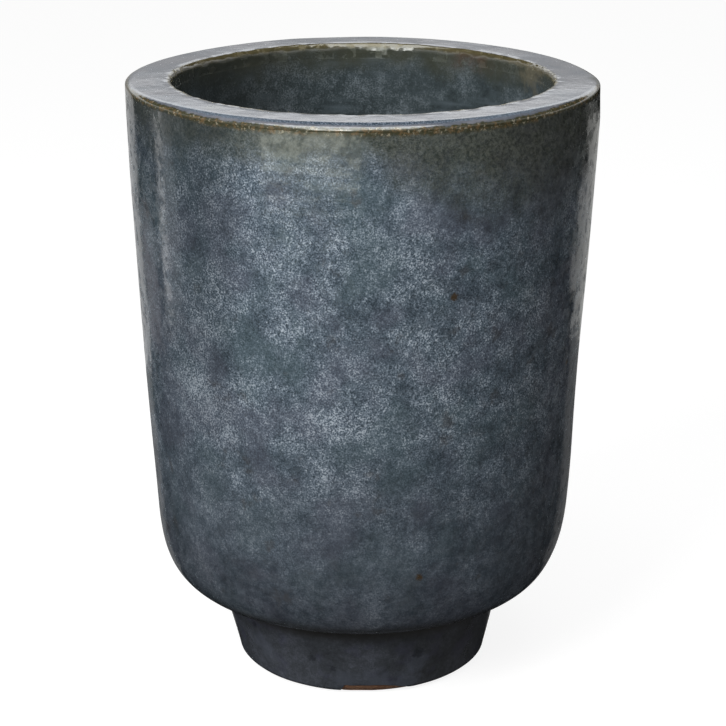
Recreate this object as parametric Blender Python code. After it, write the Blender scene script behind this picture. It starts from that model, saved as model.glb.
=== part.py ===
"""A glazed stoneware planter on a short foot, as the sections that it is built from.

Metres, +Z up. The origin is the centre of the base, on the ground. Six clay sections are turned, keyed
into each other and covered by four coats of glaze. Every piece is a ring about the Z axis.

An outline is a list of (radius, height) points. Along a surface it runs so that the clay lies on its
right: outwards over the floor, up the inner wall, over the lip, down the outside and in under the turn.
"""

import math

import bmesh
import bpy
from mathutils import Vector

# The finished, glazed outside
POT_HEIGHT = 0.521
RIM_RADIUS = 0.2015
LIP_WIDTH = 0.040
LIP_ROLL_WIDTH = 0.011  # the outer edge of the lip falls away over this width
LIP_ROLL_HEIGHT = 0.005
LIP_SKIRT = 0.0015  # the upright edge below the roll, where the rim's coat ends
LIP_INNER_WIDTH = 0.004  # the rounding of the inner edge
LIP_INNER_HEIGHT = 0.008
SHOULDER = POT_HEIGHT - LIP_ROLL_HEIGHT - LIP_SKIRT
TURN_TOP = 0.155  # where the straight wall ends and the large rounded turn starts
TURN_RADIUS = 0.1832
TURN_FULLNESS = 2.78  # exponent of the turn's curve: 2 is an ellipse, more is squarer
WALL_BULGE = 0.0012  # how far the straight wall swells at mid height
FOOT_HEIGHT = 0.073
FOOT_TOP_RADIUS = 0.1283
FOOT_BASE_RADIUS = 0.1103  # where the foot's straight side would meet the ground
FOOT_ROUNDING_WIDTH = 0.0107
FOOT_ROUNDING_HEIGHT = 0.0073

# The hollow inside, and the recess under the floor
WALL_THICKNESS = 0.024
RIM_DEPTH = 0.042  # height of the thick coil at the mouth
RIM_BLEND = 0.161  # the height over which its thickness dies away into the wall
FLOOR_TOP = 0.103
FLOOR_RADIUS = 0.092  # the flat part of the floor, inside
FLOOR_TAPER = 0.004  # the floor slab narrows by this much downwards, like a plug
DRAIN_RADIUS = 0.014
FOOT_BORE_RADIUS = 0.082

# Coats and joints
GLAZE = 0.0012
GAP = 0.0003  # clearance between pieces that touch
CLAY_DEPTH = GLAZE + GAP  # how far the clay lies under the glazed surface
LOWER_JOINT = 0.160  # heights of the joints between the wall sections
UPPER_JOINT = 0.318
RIM_JOINT = POT_HEIGHT - RIM_DEPTH
KEY_WIDTH = 0.012
KEY_DEPTH = 0.005
KEY_GAP = 0.0005  # measured upwards: about GAP across the slopes of the V
BARE_CLAY = 0.004  # the unglazed line above the ground
RIM_COAT_DEPTH = 0.014  # how far the rim's coat reaches down the inside

SEGMENTS = 48
TURN_POINTS = 10
INNER_TURN_POINTS = 6
SECTION_POINTS = 4  # along one wall section

CLAY_COLOUR = (0.30, 0.15, 0.08)
BODY_GLAZE_COLOUR = (0.075, 0.098, 0.120)
FOOT_GLAZE_COLOUR = (0.045, 0.055, 0.070)
RIM_GLAZE_COLOUR = (0.330, 0.350, 0.400)
INNER_GLAZE_COLOUR = (0.055, 0.062, 0.058)


def spaced(start, end, count):
    return [start + (end - start) * i / (count - 1) for i in range(count)]


def wall_radius(height):
    """Outer radius of the tapered wall, on the glaze."""
    up = (height - TURN_TOP) / (POT_HEIGHT - TURN_TOP)
    return TURN_RADIUS + (RIM_RADIUS - TURN_RADIUS) * up + WALL_BULGE * 4 * up * (1 - up)


def inner_radius(height):
    """Inner radius above the inner turn: the rim's own, easing into the thinner wall below it."""
    thin = wall_radius(height) - WALL_THICKNESS
    down = min(max((RIM_JOINT - height) / RIM_BLEND, 0.0), 1.0)
    share = down * down * (3 - 2 * down)
    return (RIM_RADIUS - LIP_WIDTH) * (1 - share) + thin * share


def foot_radius(height):
    return FOOT_BASE_RADIUS + (FOOT_TOP_RADIUS - FOOT_BASE_RADIUS) * height / FOOT_HEIGHT


def clay_outer(height):
    return wall_radius(height) - CLAY_DEPTH


def clay_inner(height):
    return inner_radius(height) + CLAY_DEPTH


def straight(radius_at, start, end, count):
    """Points along a wall whose radius is a function of height."""
    return [(radius_at(height), height) for height in spaced(start, end, count)]


def arc(centre, width, height, start, end, count):
    """Points on an ellipse about a centre, between two angles in degrees."""
    angles = [math.radians(angle) for angle in spaced(start, end, count)]
    return [(centre[0] + width * math.cos(a), centre[1] + height * math.sin(a)) for a in angles]


def under(surface, depth):
    """The same outline this far under the surface, on the right of its direction of travel."""
    moved = []
    for i, point in enumerate(surface):
        before = Vector(surface[max(i - 1, 0)])
        after = Vector(surface[min(i + 1, len(surface) - 1)])
        along = (after - before).normalized()
        moved.append((point[0] + along.y * depth, point[1] - along.x * depth))
    return moved


def lip_surface():
    """Round the inner edge, over the flat lip and round the outer edge."""
    inner_edge = RIM_RADIUS - LIP_WIDTH
    inner_centre = (inner_edge + LIP_INNER_WIDTH, POT_HEIGHT - LIP_INNER_HEIGHT)
    outer_edge = wall_radius(SHOULDER)
    outer_centre = (outer_edge - LIP_ROLL_WIDTH, POT_HEIGHT - LIP_ROLL_HEIGHT)
    inner_rounding = arc(inner_centre, LIP_INNER_WIDTH, LIP_INNER_HEIGHT, 180, 90, 5)
    roll = arc(outer_centre, LIP_ROLL_WIDTH, LIP_ROLL_HEIGHT, 90, 0, 6)
    return inner_rounding + roll + [(outer_edge, SHOULDER)]


def turn_surface():
    """The large rounded turn: the wall's slope carried on downwards, drawn in by a superellipse."""
    depth = TURN_TOP - FOOT_HEIGHT
    slope = (RIM_RADIUS - TURN_RADIUS + 4 * WALL_BULGE) / (POT_HEIGHT - TURN_TOP)
    reach = TURN_RADIUS - slope * depth - FOOT_TOP_RADIUS
    points = []
    for angle in spaced(0, math.pi / 2, TURN_POINTS):
        drop = depth * math.sin(angle) ** (2 / TURN_FULLNESS)
        inward = reach * (1 - max(math.cos(angle), 0.0) ** (2 / TURN_FULLNESS))
        points.append((TURN_RADIUS - slope * drop - inward, TURN_TOP - drop))
    return points


def inner_turn_surface():
    """The rounded corner between the floor and the inner wall, from the floor up."""
    centre = (FLOOR_RADIUS, LOWER_JOINT)
    width = inner_radius(LOWER_JOINT) - FLOOR_RADIUS
    return arc(centre, width, LOWER_JOINT - FLOOR_TOP, -90, 0, INNER_TURN_POINTS)


def foot_surface(depth, top, low):
    """Down the foot and round its lower edge, to a height above the ground and at a depth of clay."""
    side_end = foot_radius(FOOT_ROUNDING_HEIGHT)
    centre = (side_end - FOOT_ROUNDING_WIDTH, FOOT_ROUNDING_HEIGHT)
    last = math.degrees(math.asin(low / FOOT_ROUNDING_HEIGHT - 1))
    side = [(foot_radius(height) - depth, height) for height in spaced(top, FOOT_ROUNDING_HEIGHT, 3)]
    return side + arc(centre, FOOT_ROUNDING_WIDTH - depth, FOOT_ROUNDING_HEIGHT, 0, last, 5)[1:]


def key(height, lift=0.0):
    """The V-shaped joint across the wall, from the inner face to the outer."""
    inner = clay_inner(height)
    outer = clay_outer(height)
    middle = (inner + outer) / 2
    across = [
        (inner, 0.0),
        (middle - KEY_WIDTH / 2, 0.0),
        (middle, -KEY_DEPTH),
        (middle + KEY_WIDTH / 2, 0.0),
        (outer, 0.0),
    ]
    return [(radius, height + lift + drop) for radius, drop in across]


def rim_ring():
    """The thick coil at the mouth."""
    lip = under(lip_surface(), CLAY_DEPTH)
    return lip + key(RIM_JOINT, KEY_GAP)[::-1]


def wall_section(low, high):
    """A straight stretch of wall, keyed at both ends."""
    inner_face = straight(clay_inner, low, high, SECTION_POINTS)[1:-1]
    outer_face = straight(clay_outer, high, low, SECTION_POINTS)[1:-1]
    return inner_face + key(high) + outer_face + key(low, KEY_GAP)[::-1]


def bowl_wall():
    """The rounded turn, from the edge of the floor slab to the lowest joint of the wall."""
    inner_turn = under(inner_turn_surface(), CLAY_DEPTH)
    outer_turn = under(turn_surface(), CLAY_DEPTH)
    seat_top = (FLOOR_RADIUS + GAP, FLOOR_TOP - CLAY_DEPTH)
    seat_bottom = (FLOOR_RADIUS - FLOOR_TAPER + GAP, FOOT_HEIGHT + CLAY_DEPTH)
    return [seat_bottom, seat_top] + inner_turn[1:-1] + key(LOWER_JOINT) + outer_turn


def floor_slab():
    """The floor: a tapered disc with the drain hole through its centre."""
    top = FLOOR_TOP - CLAY_DEPTH
    bottom = FOOT_HEIGHT + CLAY_DEPTH
    return [
        (DRAIN_RADIUS, bottom),
        (DRAIN_RADIUS, top),
        (FLOOR_RADIUS, top),
        (FLOOR_RADIUS - FLOOR_TAPER, bottom),
    ]


def foot_ring():
    """The ring that the pot stands on, bare underneath and inside."""
    top = FOOT_HEIGHT + CLAY_DEPTH - GAP
    return [(FOOT_BORE_RADIUS, 0.0), (FOOT_BORE_RADIUS, top)] + foot_surface(CLAY_DEPTH, top, 0.0)


def coat(surface):
    """A coat of glaze of even thickness."""
    return surface + under(surface, GLAZE)[::-1]


def body_glaze():
    wall = straight(wall_radius, SHOULDER - GAP, TURN_TOP, SECTION_POINTS)
    return coat(wall + turn_surface()[1:])


def foot_glaze():
    """The coat on the foot, which stops above the ground."""
    top = FOOT_HEIGHT - GAP
    return foot_surface(0.0, top, BARE_CLAY) + foot_surface(GLAZE, top, BARE_CLAY)[::-1]


def rim_glaze():
    inside = (RIM_RADIUS - LIP_WIDTH, POT_HEIGHT - RIM_COAT_DEPTH)
    return coat([inside] + lip_surface())


def inner_glaze():
    """The coat on the floor and the inner wall."""
    floor_edge = (DRAIN_RADIUS, FLOOR_TOP)
    middle = straight(inner_radius, LOWER_JOINT, UPPER_JOINT, SECTION_POINTS)
    upper = straight(inner_radius, UPPER_JOINT, RIM_JOINT, SECTION_POINTS)
    top = (inner_radius(POT_HEIGHT), POT_HEIGHT - RIM_COAT_DEPTH - GAP)
    return coat([floor_edge] + inner_turn_surface() + middle[1:] + upper[1:] + [top])


def make_material(name, colour, roughness):
    material = bpy.data.materials.new(name)
    material.use_nodes = True
    shader = material.node_tree.nodes["Principled BSDF"]
    shader.inputs["Base Color"].default_value = (*colour, 1.0)
    shader.inputs["Roughness"].default_value = roughness
    shader.inputs["Metallic"].default_value = 0.0
    return material


def turn_piece(name, outline, colour, roughness):
    """Spins a closed outline about the Z axis into one ring-shaped solid."""
    shape = bmesh.new()
    corners = [shape.verts.new((radius, 0.0, height)) for radius, height in outline]
    edges = [shape.edges.new((a, b)) for a, b in zip(corners, corners[1:] + corners[:1])]
    bmesh.ops.spin(
        shape,
        geom=corners + edges,
        cent=(0, 0, 0),
        axis=(0, 0, 1),
        angle=math.tau,
        steps=SEGMENTS,
        use_merge=True,
    )
    bmesh.ops.recalc_face_normals(shape, faces=shape.faces)
    mesh = bpy.data.meshes.new(name)
    shape.to_mesh(mesh)
    shape.free()
    mesh.shade_smooth()
    mesh.set_sharp_from_angle(angle=math.radians(35))
    mesh.materials.append(make_material(name, colour, roughness))
    piece = bpy.data.objects.new(name, mesh)
    bpy.context.scene.collection.objects.link(piece)


def build():
    for old in list(bpy.data.objects):
        bpy.data.objects.remove(old)
    clay_sections = {
        "rim_ring": rim_ring(),
        "upper_wall": wall_section(UPPER_JOINT, RIM_JOINT),
        "middle_wall": wall_section(LOWER_JOINT, UPPER_JOINT),
        "bowl_wall": bowl_wall(),
        "floor_slab": floor_slab(),
        "foot_ring": foot_ring(),
    }
    for name, outline in clay_sections.items():
        turn_piece(name, outline, CLAY_COLOUR, 0.9)
    turn_piece("body_glaze", body_glaze(), BODY_GLAZE_COLOUR, 0.25)
    turn_piece("foot_glaze", foot_glaze(), FOOT_GLAZE_COLOUR, 0.3)
    turn_piece("rim_glaze", rim_glaze(), RIM_GLAZE_COLOUR, 0.2)
    turn_piece("inner_glaze", inner_glaze(), INNER_GLAZE_COLOUR, 0.25)


build()
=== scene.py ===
"""The looks of the glazed planter: handmade surfaces, glazes, bare clay, studio and camera.

Metres, +Z up. The camera looks along +Y. Azimuth is in degrees about the pot: 0 faces the camera and 90
is to the camera's right. An outline is a list of (radius, height) points with the clay on its right.
"""

import math

import bpy
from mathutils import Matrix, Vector, noise


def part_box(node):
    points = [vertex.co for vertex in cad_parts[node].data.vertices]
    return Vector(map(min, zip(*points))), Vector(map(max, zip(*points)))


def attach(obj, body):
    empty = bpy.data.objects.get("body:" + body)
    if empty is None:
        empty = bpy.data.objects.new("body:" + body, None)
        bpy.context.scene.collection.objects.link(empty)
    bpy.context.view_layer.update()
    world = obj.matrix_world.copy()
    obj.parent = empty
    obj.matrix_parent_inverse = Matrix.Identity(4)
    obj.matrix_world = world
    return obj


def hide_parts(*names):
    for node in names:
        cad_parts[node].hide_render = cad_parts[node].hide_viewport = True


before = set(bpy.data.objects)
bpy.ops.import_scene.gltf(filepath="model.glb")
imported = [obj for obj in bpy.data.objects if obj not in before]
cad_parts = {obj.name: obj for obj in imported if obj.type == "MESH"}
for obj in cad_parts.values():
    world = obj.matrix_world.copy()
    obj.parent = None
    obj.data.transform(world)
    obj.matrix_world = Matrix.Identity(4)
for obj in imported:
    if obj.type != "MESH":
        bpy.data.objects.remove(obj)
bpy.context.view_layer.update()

# Read from the frame
POT_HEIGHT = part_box("rim_glaze")[1].z
COAT_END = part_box("rim_glaze")[0].z  # where the rim's coat ends, inside
FOOT_HEIGHT = round(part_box("body_glaze")[0].z, 4)
LOWER_JOINT = round(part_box("bowl_wall")[1].z, 4)
UPPER_JOINT = round(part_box("middle_wall")[1].z, 4)
RIM_JOINT = round(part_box("upper_wall")[1].z, 4)
FLOOR_RADIUS = round(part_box("floor_slab")[1].x, 4)

# The turned shape: the CAD part's own dimensions, which the frame's boxes don't give
RIM_RADIUS = 0.2015
LIP_WIDTH = 0.040
LIP_INNER_WIDTH = 0.004
LIP_INNER_HEIGHT = 0.008
LIP_ROLL_WIDTH = 0.011
LIP_ROLL_HEIGHT = 0.005
LIP_SKIRT = 0.0015
SHOULDER = POT_HEIGHT - LIP_ROLL_HEIGHT - LIP_SKIRT
TURN_TOP = 0.155
TURN_RADIUS = 0.1832
TURN_FULLNESS = 2.78
WALL_BULGE = 0.0012
FOOT_TOP_RADIUS = 0.1283
FOOT_BASE_RADIUS = 0.1103
FOOT_ROUNDING_WIDTH = 0.0107
FOOT_ROUNDING_HEIGHT = 0.0073
FOOT_BORE_RADIUS = 0.082
FILLET = 0.007  # the soft corner of glaze between the turn and the foot
FILLET_POINTS = 13
FILLET_MIDDLE = 6  # its point where the body's glaze ends and the foot's begins
WALL_THICKNESS = 0.024
RIM_BLEND = 0.161
FLOOR_TOP = 0.103
FLOOR_TAPER = 0.004
DRAIN_RADIUS = 0.014
GLAZE = 0.0012
CLAY_DEPTH = 0.0015
GAP = CLAY_DEPTH - GLAZE
KEY_WIDTH = 0.012
KEY_DEPTH = 0.005
KEY_GAP = 0.0005
DIMPLE_DEPTH = 0.0006
FACET_RADIUS = 0.1068  # the worn facet of bare clay at the foot's front, at its lowest
FACET_SLOPE = 0.49

SEGMENTS = 432  # round the pot
ARC_POINTS = 16  # on each rounded edge of the lip
MM = 0.001

# The studio: how far its cards are from the pot's axis, and the camera
STRIP_DISTANCE = 1.2
PATCH_DISTANCE = 1.0
CANOPY_DISTANCE = 2.0
BACK_WALL_DISTANCE = 3.0
FLOOR_REACH = 9.0
SWEEP_BEND = 4.0
BACKDROP_TOP = 9.0
CAMERA_PLACE = (0, -1.8094, 0.8594)
CAMERA_AIM = (0, 0, 0.2665)
CAMERA_LENS = 107.7
WHITE = (1.0, 1.0, 1.0)
WARM_WHITE = (1.0, 1.0, 0.97)
DIMMED = 0.26  # a card's share of its strength at its dimmer end


def smooth(value, low, high):
    share = min(max((value - low) / (high - low), 0.0), 1.0)
    return share * share * (3 - 2 * share)


def bell(value, centre, spread):
    return math.exp(-(((value - centre) / spread) ** 2))


def turned_by(azimuth, other):
    """The angle between two azimuths, from -180 to 180."""
    return (azimuth - other + 180) % 360 - 180


AZIMUTHS = [turned_by(360 * j / SEGMENTS, 0) for j in range(SEGMENTS)]


def between(ends, count):
    """This many evenly spaced values from one end to the other."""
    return [ends[0] + (ends[1] - ends[0]) * i / (count - 1) for i in range(count)]


# ---------------------------------------------------------------- outlines


def wall_radius(height):
    up = (height - TURN_TOP) / (POT_HEIGHT - TURN_TOP)
    return TURN_RADIUS + (RIM_RADIUS - TURN_RADIUS) * up + WALL_BULGE * 4 * up * (1 - up)


def inner_radius(height):
    """The rim's inner radius, easing into the thinner wall below it."""
    thin = wall_radius(height) - WALL_THICKNESS
    share = smooth(RIM_JOINT - height, 0, RIM_BLEND)
    return (RIM_RADIUS - LIP_WIDTH) * (1 - share) + thin * share


def foot_radius(height):
    return FOOT_BASE_RADIUS + (FOOT_TOP_RADIUS - FOOT_BASE_RADIUS) * height / FOOT_HEIGHT


def arc(centre, width, height, start, end, count):
    angles = [math.radians(angle) for angle in between((start, end), count)]
    return [(centre[0] + width * math.cos(a), centre[1] + height * math.sin(a)) for a in angles]


def straight(radius_at, start, end, count):
    return [(radius_at(height), height) for height in between((start, end), count)]


def lip_line(azimuth):
    """Up the inner edge, over the lip and down the rolled outer edge, which is crisper at the sides."""
    crisp = smooth(abs(azimuth), 35, 80) * (1 - bell(azimuth, 104, 18)) * (1 - 0.6 * bell(azimuth, -108, 22))
    width = LIP_ROLL_WIDTH * (1 - 0.50 * crisp)
    height = LIP_ROLL_HEIGHT * (1 - 0.45 * crisp)
    soft = 1 - 0.6 * smooth(abs(azimuth), 110, 40)
    inner_edge = RIM_RADIUS - LIP_WIDTH
    inner_width, inner_height = LIP_INNER_WIDTH * soft, LIP_INNER_HEIGHT * soft
    outer_edge = wall_radius(SHOULDER)
    inner_centre = (inner_edge + inner_width, POT_HEIGHT - inner_height)
    outer_centre = (outer_edge - width, POT_HEIGHT - height)
    inner = arc(inner_centre, inner_width, inner_height, 180, 90, ARC_POINTS)
    roll = arc(outer_centre, width, height, 90, 0, ARC_POINTS)
    return [(inner_edge, COAT_END)] + inner + roll + [(outer_edge, SHOULDER)]


def corner():
    """The fillet between the turn's flat underside and the foot's sloping side."""
    slope = math.atan((FOOT_TOP_RADIUS - FOOT_BASE_RADIUS) / FOOT_HEIGHT)
    centre_height = FOOT_HEIGHT - FILLET
    centre = (foot_radius(centre_height) + FILLET / math.cos(slope), centre_height)
    return arc(centre, FILLET, FILLET, 90, 180 - math.degrees(slope), FILLET_POINTS)


def turn_line():
    """The large rounded turn, a superellipse that carries on the wall's slope."""
    depth = TURN_TOP - FOOT_HEIGHT
    slope = (RIM_RADIUS - TURN_RADIUS + 4 * WALL_BULGE) / (POT_HEIGHT - TURN_TOP)
    reach = TURN_RADIUS - slope * depth - FOOT_TOP_RADIUS
    points = []
    steps = 80
    for i in range(steps + 1):
        angle = math.pi / 2 * i / steps
        drop = depth * math.sin(angle) ** (2 / TURN_FULLNESS)
        inward = reach * (1 - max(math.cos(angle), 0.0) ** (2 / TURN_FULLNESS))
        points.append((TURN_RADIUS - slope * drop - inward, TURN_TOP - drop))
    return [point for point in points if point[0] > corner()[0][0]]


def wall_line(azimuth):
    """Down the wall and in under the turn, to the middle of the fillet. It is the same all round."""
    fillet = corner()[: FILLET_MIDDLE + 1]
    return straight(wall_radius, SHOULDER, TURN_TOP, 60)[:-1] + turn_line() + fillet


def foot_side(azimuth):
    """From the fillet down the foot and round its lower edge, which is worn away a little at the front."""
    fillet = corner()[FILLET_MIDDLE:]
    side = straight(foot_radius, fillet[-1][1], FOOT_ROUNDING_HEIGHT, 20)[1:]
    centre = (side[-1][0] - FOOT_ROUNDING_WIDTH, FOOT_ROUNDING_HEIGHT)
    edge = arc(centre, FOOT_ROUNDING_WIDTH, FOOT_ROUNDING_HEIGHT, 0, -86, 24)[1:]
    worn = MM * (0.3 * smooth(azimuth, 15, 30) * smooth(azimuth, 75, 45) + 0.9 * bell(azimuth, -1, 8))
    lifted = []
    for radius, height in fillet + side + edge:
        share = smooth(height, 0.022, 0.0)
        lifted.append((radius - 0.4 * worn * share, height + worn * share))
    return lifted


def bare_front(azimuth):
    """1 where the glaze stops well short of the ground, 0 round the rest of the foot."""
    return smooth(azimuth, -11, -8) * smooth(azimuth, 30, 7)


def foot_line(azimuth):
    """The glazed part of the foot: the front is left bare a little way up from the ground."""
    ragged = 0.4 * MM * noise.noise(Vector((azimuth * 0.3, 5, 2)))
    end = 0.9 * MM + 8.4 * MM * bare_front(azimuth) + ragged
    side = foot_side(azimuth)
    kept = [point for point in side if point[1] > end]
    above, below = kept[-1], side[len(kept)]
    share = (above[1] - end) / (above[1] - below[1])
    return kept + [(above[0] + (below[0] - above[0]) * share, end)]


def inside_line(azimuth):
    """Over the floor from the drain hole and up the inner wall to the rim's coat, the same all round."""
    width = inner_radius(LOWER_JOINT) - FLOOR_RADIUS
    floor_turn = arc((FLOOR_RADIUS, LOWER_JOINT), width, LOWER_JOINT - FLOOR_TOP, -90, 0, 24)
    return [(DRAIN_RADIUS, FLOOR_TOP)] + floor_turn + straight(inner_radius, LOWER_JOINT, COAT_END, 60)[1:]


def distances(line):
    """How far along the line each of its points is."""
    along = [0.0]
    for a, b in zip(line, line[1:]):
        along.append(along[-1] + math.dist(a, b))
    return along


def resampled(line, count):
    """The same line with this many evenly spaced points."""
    along = distances(line)
    points = []
    piece = 0
    for i in range(count):
        target = along[-1] * i / (count - 1)
        while piece < len(line) - 2 and along[piece + 1] < target:
            piece += 1
        share = (target - along[piece]) / (along[piece + 1] - along[piece])
        start, end = line[piece], line[piece + 1]
        points.append((start[0] + (end[0] - start[0]) * share, start[1] + (end[1] - start[1]) * share))
    return points


def under(line, depths):
    """The same line sunk into the clay by these depths."""
    moved = []
    for i, (point, depth) in enumerate(zip(line, depths)):
        before = Vector(line[max(i - 1, 0)])
        after = Vector(line[min(i + 1, len(line) - 1)])
        along = (after - before).normalized()
        moved.append((point[0] + along.y * depth, point[1] - along.x * depth))
    return moved


def evenly_under(line, depth):
    return under(line, [depth] * len(line))


# ---------------------------------------------------------------- handmade surfaces


def on_pot(azimuth, height, radius=0.19):
    angle = math.radians(azimuth)
    return Vector((radius * math.sin(angle), -radius * math.cos(angle), height))


def out_of_true(azimuth, height):
    """How far the whole wall leans in or out here, never outwards past the frame.

    The amounts are in millimetres, up to the last line.
    """
    place = on_pot(azimuth, height)
    lean = 0.5 * noise.noise(place * 5.0 + Vector((8, 3, 6))) + 0.2 * noise.noise(place * 15.0)
    swell = 0.35 * bell(azimuth, -85, 35) * bell(height, 0.26, 0.10)
    pinch = bell(azimuth, 85, 35) * (2.5 * bell(height, 0.285, 0.085) + 0.45 * bell(height, 0.42, 0.05))
    to_right = math.sin(math.radians(azimuth))
    slump = to_right * (2.2 * bell(height, 0.085, 0.04) + 1.1 * smooth(height, 0.072, 0.055))
    slump += 0.4 * smooth(height, 0.075, 0.060)
    worn_right = 3.4 * bell(azimuth, 98, 20) * smooth(height, 0.485, POT_HEIGHT)
    worn_left = 1.1 * bell(azimuth, -98, 24) * smooth(height, 0.485, POT_HEIGHT)
    worn_left += 0.5 * bell(azimuth, -85, 30) * smooth(height, 0.43, 0.49)
    lean = min(max(lean + swell, -0.9), 0.6)
    return MM * (lean - 0.6 - pinch - slump - worn_right - worn_left)


def droop(azimuth, height):
    """The rim sags a little towards the back, on both sides."""
    right = 2.3 * bell(azimuth, 126, 27)
    left = 1.7 * bell(azimuth, -132, 28)
    back = 0.5 * smooth(azimuth, 135, 155) + 0.5 * smooth(azimuth, -160, -172)
    return MM * (right + left + back) * smooth(height, 0.40, POT_HEIGHT)


def ripples(azimuth, radius, height):
    """The depth of the glaze's surface: slow flow, small ripples and the rings left by turning."""
    place = on_pot(azimuth, height, radius)
    flow = 0.22 * noise.noise(place * 17.0 + Vector((3, 1, 4)))
    small = 0.06 * noise.noise(place * 70.0)
    rings = 0.02 * math.sin(height * 560 + 3.0 * noise.noise(place * 9.0))
    calm = 1 - 0.85 * bell(height, FOOT_HEIGHT, 0.014)
    return MM * (0.30 + flow + calm * (small + rings))


def rough_edge(azimuth, radius, height):
    """The inner edge of the lip is lumpier than the rest."""
    place = on_pot(azimuth, height, radius)
    lumps = 0.8 * noise.noise(place * 50.0)
    lumps += 0.5 * noise.noise(place * 120.0)
    lumps += 0.3 * noise.noise(place * 260.0)
    edge = RIM_RADIUS - LIP_WIDTH
    near = smooth(radius, edge + 0.010, edge + 0.001)
    depth = ripples(azimuth, radius, height) + MM * near * (0.25 + min(max(lumps, -0.6), 0.35))
    return max(depth, 0.02 * MM)


def dimples(azimuth, radius, height):
    """The foot's few finger marks and pits."""
    depth = 0.0
    for centre, level, size in ((24, 0.036, 0.007), (-22, 0.034, 0.0035), (-50, 0.052, 0.003)):
        across = math.radians(turned_by(azimuth, centre)) * radius
        depth += DIMPLE_DEPTH * bell(math.hypot(across, height - level), 0, size)
    return ripples(azimuth, radius, height) + depth


# ---------------------------------------------------------------- pieces


def net(name, rows, material, last_meets_first=False, rows_are_loops=False):
    """A mesh through rows of points."""
    count = len(rows[0])
    faces = []
    for j in range(len(rows) if last_meets_first else len(rows) - 1):
        here, there = j * count, (j + 1) % len(rows) * count
        for i in range(count if rows_are_loops else count - 1):
            k = (i + 1) % count
            faces.append((here + i, here + k, there + k, there + i))
    mesh = bpy.data.meshes.new(name)
    mesh.from_pydata([point for row in rows for point in row], [], faces)
    mesh.materials.append(material)
    return mesh


def link(name, mesh):
    thing = bpy.data.objects.new(name, mesh)
    bpy.context.scene.collection.objects.link(thing)
    return thing


def handmade(azimuth, radius, height):
    """A point of the true turned shape, moved to where the drooping and leaning pot has it."""
    return on_pot(azimuth, height - droop(azimuth, height), radius + out_of_true(azimuth, height))


def place_piece(name, rings, marks, material):
    """A ring-shaped mesh from one closed outline for each azimuth, in place of the node of this name."""
    rows = []
    for azimuth, ring in zip(AZIMUTHS, rings):
        rows.append([handmade(azimuth, radius, height) for radius, height in ring])
    mesh = net(name, rows, material, last_meets_first=True, rows_are_loops=True)
    for mark, values in marks.items():
        mesh.attributes.new(mark, "FLOAT", "POINT").data.foreach_set("value", values)
    mesh.shade_smooth()
    mesh.set_sharp_from_angle(angle=math.radians(50))
    piece = link(name, mesh)
    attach(piece, "root")
    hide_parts(name)
    return piece


def coat(name, line_at, count, depth_at, marks, material):
    """A coat of glaze, its face finely cut and its hidden back coarsely."""
    rings = []
    values = {mark: [] for mark in marks}
    back_count = max(4, count // 6)
    for azimuth in AZIMUTHS:
        line = line_at(azimuth)
        face = resampled(line, count)
        depths = [depth_at(azimuth, radius, height) for radius, height in face]
        back = evenly_under(resampled(line, back_count), GLAZE)[::-1]
        rings.append(under(face, depths) + back)
        along = distances(face)
        for mark, value_at in marks.items():
            values[mark] += [value_at(d, along[-1]) for d in along] + [0.0] * back_count
    piece = place_piece(name, rings, values, material)


def clay(name, outline_at, material):
    piece = place_piece(name, [outline_at(azimuth) for azimuth in AZIMUTHS], {}, material)


def key(height, lift=0.0):
    """The V-shaped joint across the wall, from the inner face to the outer."""
    inner = inner_radius(height) + CLAY_DEPTH
    outer = wall_radius(height) - CLAY_DEPTH
    middle = (inner + outer) / 2
    across = [
        (inner, 0.0),
        (middle - KEY_WIDTH / 2, 0.0),
        (middle, -KEY_DEPTH),
        (middle + KEY_WIDTH / 2, 0.0),
        (outer, 0.0),
    ]
    return [(radius, height + lift + drop) for radius, drop in across]


def wall_section(low, high):
    inner = evenly_under(straight(inner_radius, low, high, 16), CLAY_DEPTH)[1:-1]
    outer = evenly_under(straight(wall_radius, high, low, 16), CLAY_DEPTH)[1:-1]
    return inner + key(high) + outer + key(low, KEY_GAP)[::-1]


def bowl_outline(azimuth):
    top = LOWER_JOINT - MM
    inner = [point for point in inside_line(azimuth) if point[0] > FLOOR_RADIUS and point[1] < top]
    outer = [point for point in wall_line(azimuth) if point[1] < top]
    seat = [
        (FLOOR_RADIUS - FLOOR_TAPER + GAP, FOOT_HEIGHT + CLAY_DEPTH),
        (FLOOR_RADIUS + GAP, FLOOR_TOP - CLAY_DEPTH),
    ]
    turn = [point for point in evenly_under(outer, CLAY_DEPTH) if point[1] > FOOT_HEIGHT + CLAY_DEPTH]
    return evenly_under(inner, CLAY_DEPTH) + key(LOWER_JOINT) + turn + seat


def slab_outline(azimuth):
    """The floor with its drain hole, the same all round."""
    bottom = FOOT_HEIGHT + CLAY_DEPTH
    top = FLOOR_TOP - CLAY_DEPTH
    return [
        (DRAIN_RADIUS, bottom),
        (DRAIN_RADIUS, top),
        (FLOOR_RADIUS, top),
        (FLOOR_RADIUS - FLOOR_TAPER, bottom),
    ]


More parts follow.
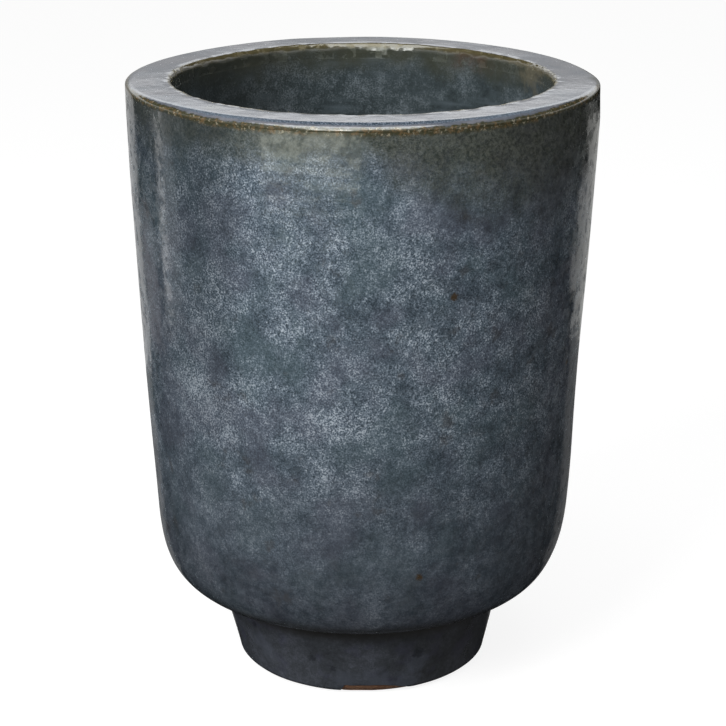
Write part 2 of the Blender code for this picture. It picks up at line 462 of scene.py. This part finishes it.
def foot_outline(azimuth):
    """The foot's clay, which stands out in a worn facet where the glaze stops short at the front."""
    top = FOOT_HEIGHT + CLAY_DEPTH - GAP
    bare = bare_front(azimuth)
    below_fillet = foot_side(azimuth)[FILLET_POINTS - FILLET_MIDDLE :]
    side = []
    for radius, height in evenly_under(below_fillet, CLAY_DEPTH):
        facet = FACET_RADIUS + FACET_SLOPE * (max(height, 0.002) - 0.002)
        share = min(3 * bare, 1) * smooth(height, 0.0014, 0.0021) * smooth(height, 0.0120, 0.0104)
        side.append((radius + share * max(facet - radius, 0.0), height))
    bore = [(FOOT_BORE_RADIUS, 0.0), (FOOT_BORE_RADIUS, 0.04), (FOOT_BORE_RADIUS, top)]
    tread = side[-1][0] - (2 + 4 * bare) * MM
    return bore + [(foot_radius(top) - CLAY_DEPTH, top)] + side + [(tread, 0.0)]


def rim_outline(azimuth):
    return evenly_under(lip_line(azimuth), CLAY_DEPTH) + key(RIM_JOINT, KEY_GAP)[::-1]


def build_clay():
    material = clay_material()
    clay("rim_ring", rim_outline, material)
    clay("upper_wall", lambda a: wall_section(UPPER_JOINT, RIM_JOINT), material)
    clay("middle_wall", lambda a: wall_section(LOWER_JOINT, UPPER_JOINT), material)
    clay("bowl_wall", bowl_outline, material)
    clay("floor_slab", slab_outline, material)
    clay("foot_ring", foot_outline, material)


def build_glazes():
    """Two marks tell the glazes how far below the outer and the inner edge of the lip they are."""
    lip = distances(lip_line(0))
    inner_arris = lip[ARC_POINTS]
    outer_arris = lip[ARC_POINTS + 1]
    roll = lip[-1] - outer_arris
    rim_marks = {
        "below_rim": lambda d, total: d - (total - roll),
        "below_edge": lambda d, total: inner_arris - d,
    }
    coat("rim_glaze", lip_line, 56, rough_edge, rim_marks, rim_material())
    coat("body_glaze", wall_line, 196, ripples, {"below_rim": lambda d, total: d + roll}, body_material())
    coat("foot_glaze", foot_line, 48, dimples, {}, foot_material())
    inner_marks = {"below_edge": lambda d, total: total - d + inner_arris}
    coat("inner_glaze", inside_line, 180, ripples, inner_marks, inner_material())


# ---------------------------------------------------------------- materials


class Recipe:
    """A material's nodes, added one value at a time."""

    def __init__(self, name):
        self.material = bpy.data.materials.new(name)
        self.material.use_nodes = True
        self.tree = self.material.node_tree
        self.shader = self.tree.nodes["Principled BSDF"]
        self.place = self.tree.nodes.new("ShaderNodeTexCoord").outputs["Object"]

    def feed(self, socket, value):
        if isinstance(value, bpy.types.NodeSocket):
            self.tree.links.new(value, socket)
        elif socket.type == "RGBA":
            socket.default_value = (*value, 1.0)
        else:
            socket.default_value = value

    def noise(self, size, detail=2.0, roughness=0.5, shift=0.0, squeeze=(1, 1, 1)):
        """Noise with features of about this size, in metres, and finer ones within them."""
        mapping = self.tree.nodes.new("ShaderNodeMapping")
        self.feed(mapping.inputs["Vector"], self.place)
        mapping.inputs["Location"].default_value = (shift, shift * 0.7, shift * 0.3)
        mapping.inputs["Scale"].default_value = squeeze
        node = self.tree.nodes.new("ShaderNodeTexNoise")
        self.feed(node.inputs["Vector"], mapping.outputs["Vector"])
        node.inputs["Scale"].default_value = 1 / size
        node.inputs["Detail"].default_value = detail
        node.inputs["Roughness"].default_value = roughness
        return node.outputs["Fac"]

    def mark(self, name):
        node = self.tree.nodes.new("ShaderNodeAttribute")
        node.attribute_name = name
        return node.outputs["Fac"]

    def part(self, axis):
        node = self.tree.nodes.new("ShaderNodeSeparateXYZ")
        self.feed(node.inputs["Vector"], self.place)
        return node.outputs[axis]

    def height(self):
        return self.part("Z")

    def forward(self):
        """How far towards the front."""
        return self.times(self.part("Y"), -1.0)

    def across(self):
        """The place from the left to the right, seen from the front."""
        return self.part("X")

    def spot(self, azimuth, height, radius, size, ragged=0.5, core=0.4):
        """1 about a place on the pot, falling from its core to 0 at this distance with a ragged edge."""
        node = self.tree.nodes.new("ShaderNodeVectorMath")
        node.operation = "DISTANCE"
        self.feed(node.inputs[0], self.place)
        node.inputs[1].default_value = on_pot(azimuth, height, radius)
        rough = self.swing(self.noise(size * 0.5, 4.0, 0.7, azimuth), 2.5 * ragged * size)
        return self.step(self.plus(node.outputs["Value"], rough), size, size * core)

    def maths(self, operation, a, b=0.0):
        node = self.tree.nodes.new("ShaderNodeMath")
        node.operation = operation
        self.feed(node.inputs[0], a)
        self.feed(node.inputs[1], b)
        return node.outputs["Value"]

    def plus(self, a, b):
        return self.maths("ADD", a, b)

    def times(self, a, b):
        return self.maths("MULTIPLY", a, b)

    def swing(self, value, amount):
        """A noise about 0 instead of 0.5, this strong."""
        return self.times(self.plus(value, -0.5), amount)

    def step(self, value, low, high):
        """0 below low, 1 above high, smooth between. With low above high it falls instead."""
        node = self.tree.nodes.new("ShaderNodeMapRange")
        node.interpolation_type = "SMOOTHSTEP"
        self.feed(node.inputs["Value"], value)
        self.feed(node.inputs["From Min"], low)
        self.feed(node.inputs["From Max"], high)
        return node.outputs["Result"]

    def mix(self, share, a, b):
        node = self.tree.nodes.new("ShaderNodeMix")
        node.data_type = "RGBA"
        self.feed(node.inputs[0], share)
        self.feed(node.inputs[6], a)
        self.feed(node.inputs[7], b)
        return node.outputs[2]

    def shades(self, value, stops):
        """Colours at places along a value, blended between."""
        node = self.tree.nodes.new("ShaderNodeValToRGB")
        self.feed(node.inputs["Fac"], value)
        ramp = node.color_ramp
        while len(ramp.elements) < len(stops):
            ramp.elements.new(0.5)
        for element, (position, colour) in zip(ramp.elements, stops):
            element.position = position
            element.color = (*colour, 1.0)
        return node.outputs["Color"]

    def bump(self, height, distance, below=None):
        node = self.tree.nodes.new("ShaderNodeBump")
        node.inputs["Distance"].default_value = distance
        self.feed(node.inputs["Height"], height)
        if below is not None:
            self.feed(node.inputs["Normal"], below)
        return node.outputs["Normal"]

    def finish(self, colour, roughness, normal):
        self.feed(self.shader.inputs["Base Color"], colour)
        self.feed(self.shader.inputs["Roughness"], roughness)
        self.feed(self.shader.inputs["Normal"], normal)
        return self.material


def tone(recipe, mottle, grain):
    """0.5 on average: mottling of every size down to a few millimetres, and crystals finer than that.

    The crystals are fewer near the ground, and under the rim on the right.
    """
    cloud = recipe.noise(0.050, 5.0, 0.90, 1.0)
    crystals = recipe.noise(0.0013, 1.0, 0.6, 3.0)
    crowd = recipe.plus(recipe.times(recipe.step(cloud, 0.35, 0.65), grain * 0.7), grain * 0.5)
    raised = recipe.plus(recipe.times(recipe.step(recipe.height(), 0.13, 0.28), 0.48), 0.52)
    crowd = recipe.times(crowd, raised)
    calm = recipe.times(recipe.step(recipe.height(), 0.400, 0.475), recipe.step(recipe.across(), -0.03, 0.06))
    crowd = recipe.times(crowd, recipe.plus(recipe.times(calm, -0.45), 1.0))
    fine = recipe.times(recipe.plus(crystals, -0.5), crowd)
    return recipe.plus(recipe.plus(recipe.swing(cloud, mottle), fine), 0.5)


def hue_drift(recipe, colour, teal, violet):
    """The glaze wanders between teal and violet from place to place."""
    drift = recipe.noise(0.060, 2.0, 0.6, 9.0)
    colour = recipe.mix(recipe.times(recipe.step(drift, 0.50, 0.35), 0.30), colour, teal)
    return recipe.mix(recipe.times(recipe.step(drift, 0.50, 0.65), 0.30), colour, violet)


def outside_colour(recipe):
    """The body's glaze, from its slate ground colour to what lies over it, with painted shade low down and on
    the sides.
    """
    body = near_ground(recipe, slate_colour(recipe))
    smooth_patch = recipe.step(recipe.noise(0.026, 3.0, 0.6, 17.0), 0.62, 0.72)
    body = recipe.mix(recipe.times(smooth_patch, 0.55), body, (0.060, 0.060, 0.062))
    return pitted(recipe, painted_side_shade(recipe, thin_under_rim(recipe, body)))


def slate_colour(recipe):
    slate = [
        (0.10, (0.032, 0.044, 0.055)),
        (0.45, (0.098, 0.129, 0.160)),
        (0.75, (0.218, 0.265, 0.318)),
        (1.0, (0.460, 0.520, 0.580)),
    ]
    body = recipe.shades(tone(recipe, 1.75, 2.0), slate)
    return hue_drift(recipe, body, (0.078, 0.122, 0.132), (0.105, 0.104, 0.142))


def near_ground(recipe, body):
    """Painted shade low on the wall and over the turn, and more painted shade in the corner over the foot,
    brownish where the glaze has gathered there.
    """
    # painted shade: the lower wall and the turn, which faces down, are darkened in the glaze's colour
    low = recipe.step(recipe.plus(recipe.height(), recipe.swing(recipe.noise(0.05), 0.10)), 0.33, 0.08)
    mottled = recipe.step(recipe.noise(0.010, 4.0, 0.8, 19.0), 0.38, 0.62)
    dark = recipe.mix(mottled, (0.022, 0.024, 0.030), (0.057, 0.061, 0.073))
    body = recipe.mix(recipe.times(low, 0.66), body, dark)
    # painted shade in the crease between the turn and the foot, brownish where the glaze has gathered
    fillet = recipe.step(recipe.height(), FOOT_HEIGHT + 0.022, FOOT_HEIGHT + 0.004)
    return recipe.mix(recipe.times(fillet, 0.80), body, (0.046, 0.045, 0.042))


def thin_under_rim(recipe, body):
    """Olive where the glaze has run thin under the rim, further down on the right and paler on the left."""
    reach = recipe.plus(recipe.times(recipe.step(recipe.across(), -0.02, 0.13), 0.040), 0.038)
    uneven = recipe.swing(recipe.noise(0.030, 3.0, 0.6, 21.0), 0.050)
    ragged = recipe.plus(recipe.mark("below_rim"), uneven)
    thin = recipe.times(recipe.step(recipe.maths("DIVIDE", ragged, reach), 1.5, 0.4), 0.85)
    grain = recipe.step(recipe.noise(0.0032, 4.0, 0.85, 27.0), 0.38, 0.62)
    pale_olive = recipe.mix(grain, (0.050, 0.060, 0.048), (0.134, 0.144, 0.122))
    olive = recipe.mix(grain, (0.032, 0.036, 0.022), (0.110, 0.116, 0.090))
    olive = recipe.mix(recipe.step(recipe.across(), -0.10, 0.05), pale_olive, olive)
    return recipe.mix(thin, body, olive)


def pitted(recipe, body):
    """A few small pits where the brown clay shows."""
    pits = ((21.5, 0.380, 0.0045), (14.7, 0.139, 0.0045), (64.5, 0.294, 0.0045))
    return spotted(recipe, body, wall_radius, pits, 0.5, 0.85, (0.060, 0.036, 0.014))


def spotted(recipe, colour, radius_at, places, ragged, share, spot_colour):
    """The glaze with spots in it, each at an azimuth and a height and of a size."""
    for azimuth, height, size in places:
        spot = recipe.spot(azimuth, height, radius_at(height), size, ragged)
        colour = recipe.mix(recipe.times(spot, share), colour, spot_colour)
    return colour


def painted_side_shade(recipe, colour):
    """Painted shade on both sides, where the wall turns away: darkest high up on the left, and a mottled grey
    on the right.
    """
    across = recipe.plus(recipe.across(), recipe.swing(recipe.noise(0.024, 5.0, 0.85, 23.0), 0.080))
    upper = recipe.plus(recipe.times(recipe.step(recipe.height(), 0.19, 0.36), 0.36), 0.08)
    upper = recipe.plus(recipe.times(recipe.step(recipe.height(), 0.40, 0.48), 0.16), upper)
    # painted shade on the left side, near black, strongest high up
    left = recipe.times(recipe.step(across, -0.080, -0.125), upper)
    # painted shade on the right side, a mottled warm grey mixed in at the end
    right = recipe.times(recipe.step(across, 0.085, 0.170), 0.46)
    patches = recipe.step(recipe.noise(0.011, 4.0, 0.8, 25.0), 0.48, 0.62)
    # painted shade in patches over the right half
    dappled_shade = recipe.times(patches, recipe.step(across, 0.0, 0.08))
    colour = recipe.mix(recipe.times(dappled_shade, 0.32), colour, (0.026, 0.028, 0.034))
    colour = recipe.mix(left, colour, (0.012, 0.016, 0.018))
    mottled = recipe.step(recipe.noise(0.009, 4.0, 0.8, 28.0), 0.38, 0.62)
    return recipe.mix(right, colour, recipe.mix(mottled, (0.012, 0.011, 0.009), (0.062, 0.062, 0.064)))


def gloss(recipe, base, spread):
    return recipe.plus(recipe.times(recipe.noise(0.020, 3.0, 0.6, 35.0), spread), base)


def skin(recipe, fine, peel):
    """The fine tooth of the crystals over a gentle orange peel, each this high.

    Both fade where the foot meets the turn.
    """
    from_foot = recipe.maths("ABSOLUTE", recipe.plus(recipe.height(), -FOOT_HEIGHT))
    calm = recipe.step(from_foot, 0.002, 0.022)
    teeth = recipe.times(recipe.noise(0.0016, 2.0, 0.6, 31.0), calm)
    peels = recipe.times(recipe.noise(0.007, 2.0, 0.5, 33.0), calm)
    return recipe.bump(teeth, fine, recipe.bump(peels, peel))


def body_material():
    recipe = Recipe("body_glaze")
    dull = recipe.step(recipe.noise(0.012, 4.0, 0.75, 37.0), 0.45, 0.62)
    roughness = recipe.plus(recipe.times(dull, 0.30), 0.07)
    colour = arris(recipe, from_arris(recipe), outside_colour(recipe))
    return recipe.finish(colour, roughness, skin(recipe, 0.03 * MM, 0.10 * MM))


def foot_colour(recipe):
    """Near black with violet patches, pale blooms and pits, a painted highlight low at the front, and painted
    shade under the turn, where the glaze has pooled.
    """
    dark = [(0.10, (0.030, 0.033, 0.038)), (0.50, (0.056, 0.062, 0.072)), (1.0, (0.110, 0.120, 0.150))]
    colour = recipe.shades(tone(recipe, 1.8, 0.9), dark)
    violet = recipe.step(recipe.noise(0.022, 2.0, 0.5, 41.0), 0.52, 0.70)
    colour = recipe.mix(recipe.times(violet, 0.5), colour, (0.060, 0.062, 0.095))
    # painted shade under the turn's overhang, on glaze pooled there
    painted_shade_under_turn = recipe.step(recipe.height(), FOOT_HEIGHT - 0.022, FOOT_HEIGHT - 0.008)
    colour = recipe.mix(recipe.times(painted_shade_under_turn, 0.85), colour, (0.034, 0.033, 0.030))
    shade = recipe.step(recipe.across(), 0.0, 0.10)
    colour = recipe.mix(recipe.times(shade, 0.45), colour, (0.034, 0.032, 0.029))
    # the first two are pale blooms in the glaze; the last three, low at the front, are a painted highlight
    # along the foot's lower edge
    blooms_and_sheen = (
        (24, 0.029, 0.013),
        (-47, 0.034, 0.018),
        (-8, 0.014, 0.016),
        (6, 0.014, 0.017),
        (20, 0.013, 0.015),
    )
    colour = spotted(recipe, colour, foot_radius, blooms_and_sheen, 0.8, 0.36, (0.095, 0.108, 0.138))
    pits = ((24, 0.038, 0.0080), (-22, 0.034, 0.0045), (-50, 0.052, 0.0040), (-13, 0.026, 0.0040))
    return spotted(recipe, colour, foot_radius, pits, 0.9, 0.60, (0.020, 0.022, 0.028))


def foot_material():
    recipe = Recipe("foot_glaze")
    return recipe.finish(foot_colour(recipe), gloss(recipe, 0.12, 0.15), skin(recipe, 0.03 * MM, 0.08 * MM))


def inner_colour(recipe):
    """Deep slate with paler bands, olive and stained with rust and sand under the lip's edge."""
    deep = [(0.10, (0.020, 0.026, 0.028)), (0.50, (0.055, 0.071, 0.077)), (1.0, (0.200, 0.235, 0.260))]
    body = recipe.shades(tone(recipe, 1.6, 1.0), deep)
    band = recipe.swing(recipe.noise(0.050, 2.0, 0.5, 55.0, (1, 1, 5)), 1.0)
    body = recipe.mix(recipe.step(band, 0.0, 0.35), body, (0.095, 0.120, 0.135))
    drop = recipe.mark("below_edge")
    ragged = recipe.plus(drop, recipe.swing(recipe.noise(0.030, 3.0, 0.6, 51.0), 0.040))
    olive = recipe.times(recipe.step(ragged, 0.034, 0.004), 0.80)
    body = recipe.mix(olive, body, (0.058, 0.060, 0.040))
    shade = recipe.step(recipe.across(), -0.030, -0.120)
    body = recipe.mix(recipe.times(shade, 0.45), body, (0.026, 0.025, 0.019))
    edge_height, edge_radius = POT_HEIGHT - 0.008, RIM_RADIUS - LIP_WIDTH
    for azimuth, size in ((140, 0.020), (147, 0.017)):
        rust = recipe.spot(azimuth, edge_height, edge_radius, size, 0.8, -0.4)
        body = recipe.mix(recipe.times(rust, 0.50), body, (0.100, 0.050, 0.030))
    sandy = recipe.spot(112, POT_HEIGHT - 0.004, edge_radius, 0.030, 0.9)
    return recipe.mix(recipe.times(sandy, 0.5), body, (0.190, 0.165, 0.110))


def inner_material():
    recipe = Recipe("inner_glaze")
    return recipe.finish(inner_colour(recipe), gloss(recipe, 0.08, 0.12), skin(recipe, 0.03 * MM, 0.2 * MM))


def lip_colour(recipe):
    """Pale lavender-grey, brushed, with a few bluish and dull patches."""
    patch = recipe.step(recipe.noise(0.030, 3.0, 0.6, 61.0), 0.40, 0.60)
    lavender = recipe.mix(patch, (0.125, 0.137, 0.165), (0.180, 0.183, 0.205))
    streak = recipe.step(recipe.noise(0.004, 3.0, 0.6, 63.0), 0.45, 0.75)
    return recipe.mix(recipe.times(streak, 0.4), lavender, (0.09, 0.10, 0.12))


def arris(recipe, out, colour):
    """The thin broken line of brown and rust where the glaze has drawn back from the outer corner, with cream
    specks in it painted as glints.
    """
    rust = recipe.step(recipe.noise(0.0045, 3.0, 0.8, 67.0), 0.48, 0.62)
    brown = recipe.mix(rust, (0.052, 0.050, 0.026), (0.150, 0.100, 0.046))
    # painted glints: cream specks over the brown line
    cream_glints = recipe.step(recipe.noise(0.0030, 2.0, 0.7, 69.0), 0.58, 0.66)
    brown = recipe.mix(recipe.times(cream_glints, 0.7), brown, (0.42, 0.38, 0.28))
    band = recipe.times(recipe.step(out, 0.0100, 0.0120), recipe.step(out, 0.0190, 0.0150))
    return recipe.mix(recipe.times(band, 0.9), colour, brown)


def from_arris(recipe):
    """The ragged distance over the lip's outer corner, which is sharper at the sides, and down the wall."""
    side = recipe.times(recipe.step(recipe.maths("ABSOLUTE", recipe.across()), 0.11, 0.17), 0.0040)
    ragged = recipe.swing(recipe.noise(0.006, 3.0, 0.7, 65.0), 0.007)
    return recipe.plus(recipe.plus(recipe.mark("below_rim"), side), ragged)


def rolled_lip(recipe, out):
    """Pale on the flat, and speckled blue where it rolls over at the front, painted darker nearest the front
    as a dark reflection.
    """
    front = recipe.step(recipe.forward(), 0.08, 0.16)
    speck = recipe.step(recipe.noise(0.0013, 1.0, 0.6, 68.0), 0.44, 0.60)
    # painted reflection: the blue is darkest nearest the front, where the roll mirrors the dark above and
    # behind the pot
    nearest = recipe.step(recipe.forward(), 0.165, 0.195)
    deep = recipe.mix(nearest, (0.105, 0.138, 0.175), (0.026, 0.048, 0.070))
    blue = recipe.mix(speck, deep, (0.20, 0.24, 0.30))
    on_roll = recipe.times(recipe.step(out, 0.0, 0.003), recipe.step(out, 0.009, 0.006))
    rolled = recipe.times(on_roll, front)
    return recipe.mix(recipe.times(rolled, 0.9), lip_colour(recipe), blue)


def chipped(recipe, colour):
    """A dark chip at the right of the rim, and a stain on the lip at the left."""
    chip = recipe.spot(86, POT_HEIGHT - 0.002, RIM_RADIUS - 0.002, 0.015)
    colour = recipe.mix(recipe.times(chip, 0.9), colour, (0.022, 0.023, 0.012))
    stain = recipe.spot(-41, POT_HEIGHT, RIM_RADIUS - 0.024, 0.012, 0.3)
    return recipe.mix(recipe.times(stain, 0.5), colour, (0.110, 0.125, 0.105))


def rim_material():
    """The lip, with brown and rust at its outer arris and then as the body, and as the inside at its back."""
    recipe = Recipe("rim_glaze")
    out = from_arris(recipe)
    lip = rolled_lip(recipe, out)
    outside = recipe.mix(recipe.step(out, 0.0095, 0.0115), lip, outside_colour(recipe))
    outside = arris(recipe, out, outside)
    inward = recipe.plus(recipe.mark("below_edge"), recipe.swing(recipe.noise(0.006, 3.0, 0.7, 66.0), 0.006))
    edge = recipe.mix(recipe.noise(0.009, 3.0, 0.8, 64.0), (0.030, 0.028, 0.012), (0.150, 0.125, 0.065))
    inside = recipe.mix(recipe.step(inward, 0.002, 0.007), edge, inner_colour(recipe))
    near_edge = recipe.step(inward, -0.003, -0.0005)
    colour = chipped(recipe, recipe.mix(near_edge, outside, inside))
    dull = recipe.times(recipe.step(recipe.noise(0.011, 2.0, 0.6, 62.0), 0.50, 0.60), near_edge)
    roughness = recipe.plus(gloss(recipe, 0.06, 0.10), recipe.times(dull, 0.30))
    return recipe.finish(colour, roughness, skin(recipe, 0.03 * MM, 0.1 * MM))


def clay_material():
    recipe = Recipe("clay")
    patch = recipe.step(recipe.noise(0.018, 4.0, 0.6, 71.0), 0.35, 0.65)
    colour = recipe.mix(patch, (0.11, 0.050, 0.026), (0.17, 0.085, 0.045))
    grit = recipe.step(recipe.noise(0.0016, 2.0, 0.6, 73.0), 0.58, 0.70)
    colour = recipe.mix(recipe.times(grit, 0.6), colour, (0.06, 0.032, 0.022))
    sand = recipe.noise(0.0013, 3.0, 0.7, 75.0)
    return recipe.finish(colour, recipe.plus(recipe.times(sand, 0.3), 0.65), recipe.bump(sand, 0.3 * MM))


# ---------------------------------------------------------------- studio


def glowing(name, strength, colour, low=0.0, high=0.0):
    """A light card's material. With low and high it dims between these heights, to DIMMED at low."""
    recipe = Recipe(name)
    tree = recipe.tree
    tree.nodes.remove(recipe.shader)
    emission = tree.nodes.new("ShaderNodeEmission")
    emission.inputs["Color"].default_value = (*colour, 1.0)
    if high > low:
        rise = recipe.step(recipe.height(), low, high)
        strength = recipe.plus(recipe.times(rise, (1 - DIMMED) * strength), DIMMED * strength)
    recipe.feed(emission.inputs["Strength"], strength)
    tree.links.new(emission.outputs["Emission"], tree.nodes["Material Output"].inputs["Surface"])
    recipe.material.cycles.emission_sampling = "NONE"
    return recipe.material


def card(name, rows, material):
    """A card through rows of points, seen only in the pot's gloss."""
    sheet = link(name, net(name, rows, material))
    sheet.visible_camera = False
    sheet.visible_diffuse = False
    sheet.visible_shadow = False


def reflector(name, distance, azimuths, heights, strength, colour, waver):
    """A curved card about the pot, whose first edge wavers by this many degrees."""
    rows = []
    for height in between(heights, 41):
        start = azimuths[0] + waver * noise.noise(Vector((0, 3, height * 14)))
        rows.append([on_pot(azimuth, height, distance) for azimuth in between((start, azimuths[1]), 25)])
    card(name, rows, glowing(name, strength, colour))


def canopy(name, sides, elevations, strength):
    """A card that arches over the pot from the front, for the highlights on the lip's edges."""
    rows = []
    for elevation in between(elevations, 25):
        angle = math.radians(elevation)
        y = -CANOPY_DISTANCE * math.cos(angle)
        z = POT_HEIGHT + CANOPY_DISTANCE * math.sin(angle)
        rows.append([(x, y, z) for x in between(sides, 9)])
    card(name, rows, glowing(name, strength, (0.98, 1.0, 0.97)))


def softbox(name, place, size, power):
    """A soft light that lights the surfaces but leaves no shape of its own in their gloss."""
    light = bpy.data.lights.new(name, "AREA")
    light.shape = "RECTANGLE"
    light.size, light.size_y = size
    light.energy = power
    lamp = bpy.data.objects.new(name, light)
    bpy.context.scene.collection.objects.link(lamp)
    lamp.location = place
    centre = Vector((0, 0, 0.3))
    lamp.rotation_euler = (centre - Vector(place)).to_track_quat("-Z", "Y").to_euler()
    lamp.visible_camera = False
    lamp.visible_glossy = False


def build_sweep():
    """A pale floor that curves up into a backdrop all round.

    It neither lights the pot nor shows in its gloss.
    """
    bend = arc((FLOOR_REACH, SWEEP_BEND), SWEEP_BEND, SWEEP_BEND, -90, 0, 12)
    outline = [(0.0, 0.0)] + bend + [(FLOOR_REACH + SWEEP_BEND, BACKDROP_TOP)]
    steps = 64
    rows = [[on_pot(360 * i / steps, height, radius) for i in range(steps)] for radius, height in outline]
    mesh = net("sweep", rows, sweep_material(), rows_are_loops=True)
    mesh.shade_smooth()
    sweep = link("sweep", mesh)
    sweep.visible_diffuse = False
    sweep.visible_glossy = False
    sweep.visible_shadow = False


def sweep_material():
    """Dull grey that glows nearly white, so that the shadow on it stays faint."""
    recipe = Recipe("sweep")
    recipe.shader.inputs["Base Color"].default_value = (0.30, 0.30, 0.30, 1.0)
    recipe.shader.inputs["Roughness"].default_value = 1.0
    recipe.shader.inputs["Specular IOR Level"].default_value = 0.0
    recipe.shader.inputs["Emission Color"].default_value = (1.0, 1.0, 1.0, 1.0)
    recipe.shader.inputs["Emission Strength"].default_value = 0.86
    recipe.material.cycles.emission_sampling = "NONE"
    return recipe.material


def build_world():
    scene = bpy.context.scene
    world = bpy.data.worlds.new("studio")
    world.use_nodes = True
    world.node_tree.nodes["Background"].inputs["Color"].default_value = (1, 1, 1, 1)
    world.node_tree.nodes["Background"].inputs["Strength"].default_value = 0.30
    world.cycles_visibility.glossy = False
    scene.world = world
    scene.view_settings.view_transform = "Standard"


def build_softboxes():
    softbox("key", (-1.3, -1.7, 1.7), (1.4, 1.2), 52)
    softbox("fill", (1.6, -1.4, 1.0), (1.2, 1.2), 3)
    softbox("overhead", (0.0, -0.4, 2.2), (1.8, 1.0), 10)


def build_reflections():
    """The cards behind the bright shapes in the gloss.

    A strip is given by its azimuths, heights, strength, colour and the degrees that its first edge wavers.
    """
    strips = (
        ("left_strip", (-137, -178), (-0.12, 0.45), 0.56, WHITE, 4),
        ("left_low_strip", (-140, -178), (-0.6, -0.12), 0.20, WHITE, 4),
        ("left_dim_strip", (-119, -135), (-0.08, 0.12), 0.30, (1.0, 0.95, 1.0), 3),
        ("left_soft_strip", (-111, -105), (-0.04, 0.28), 1.5, WHITE, 1),
        ("left_soft_edge", (-105, -96), (-0.04, 0.26), 0.40, WHITE, 1),
        ("right_strip", (129, 178), (-0.08, 0.26), 0.46, WARM_WHITE, 14),
        ("right_bulge", (122, 131), (-0.02, 0.06), 0.42, WARM_WHITE, 6),
        ("right_dim_strip", (134, 178), (-0.6, -0.08), 0.12, WHITE, 4),
    )
    for name, azimuths, heights, strength, colour, waver in strips:
        reflector(name, STRIP_DISTANCE, azimuths, heights, strength, colour, waver)
    reflector("front_patch", PATCH_DISTANCE, (-1, -45), (0.215, 0.32), 2.9, (0.96, 1.0, 0.86), 0)
    canopy("canopy", (-1.1, 0.70), (30, 95), 8.5)
    canopy("left_window", (-0.86, -0.56), (3, 30), 15.0)
    canopy("right_window", (-0.50, -0.08), (3, 30), 15.0)
    heights = (0.40, 1.0, 1.7)
    wall = [[on_pot(15 * k, height, BACK_WALL_DISTANCE) for k in range(25)] for height in heights]
    card("back_wall", wall, glowing("back_wall", 1.60, (0.965, 0.985, 1.0), 1.04, 1.24))


def build_camera():
    camera = bpy.data.objects.new("camera", bpy.data.cameras.new("camera"))
    bpy.context.scene.collection.objects.link(camera)
    camera.data.lens = CAMERA_LENS
    camera.location = CAMERA_PLACE
    camera.rotation_euler = (Vector(CAMERA_AIM) - camera.location).to_track_quat("-Z", "Y").to_euler()
    bpy.context.scene.camera = camera


build_clay()
build_glazes()
build_sweep()
build_world()
build_softboxes()
build_reflections()
build_camera()
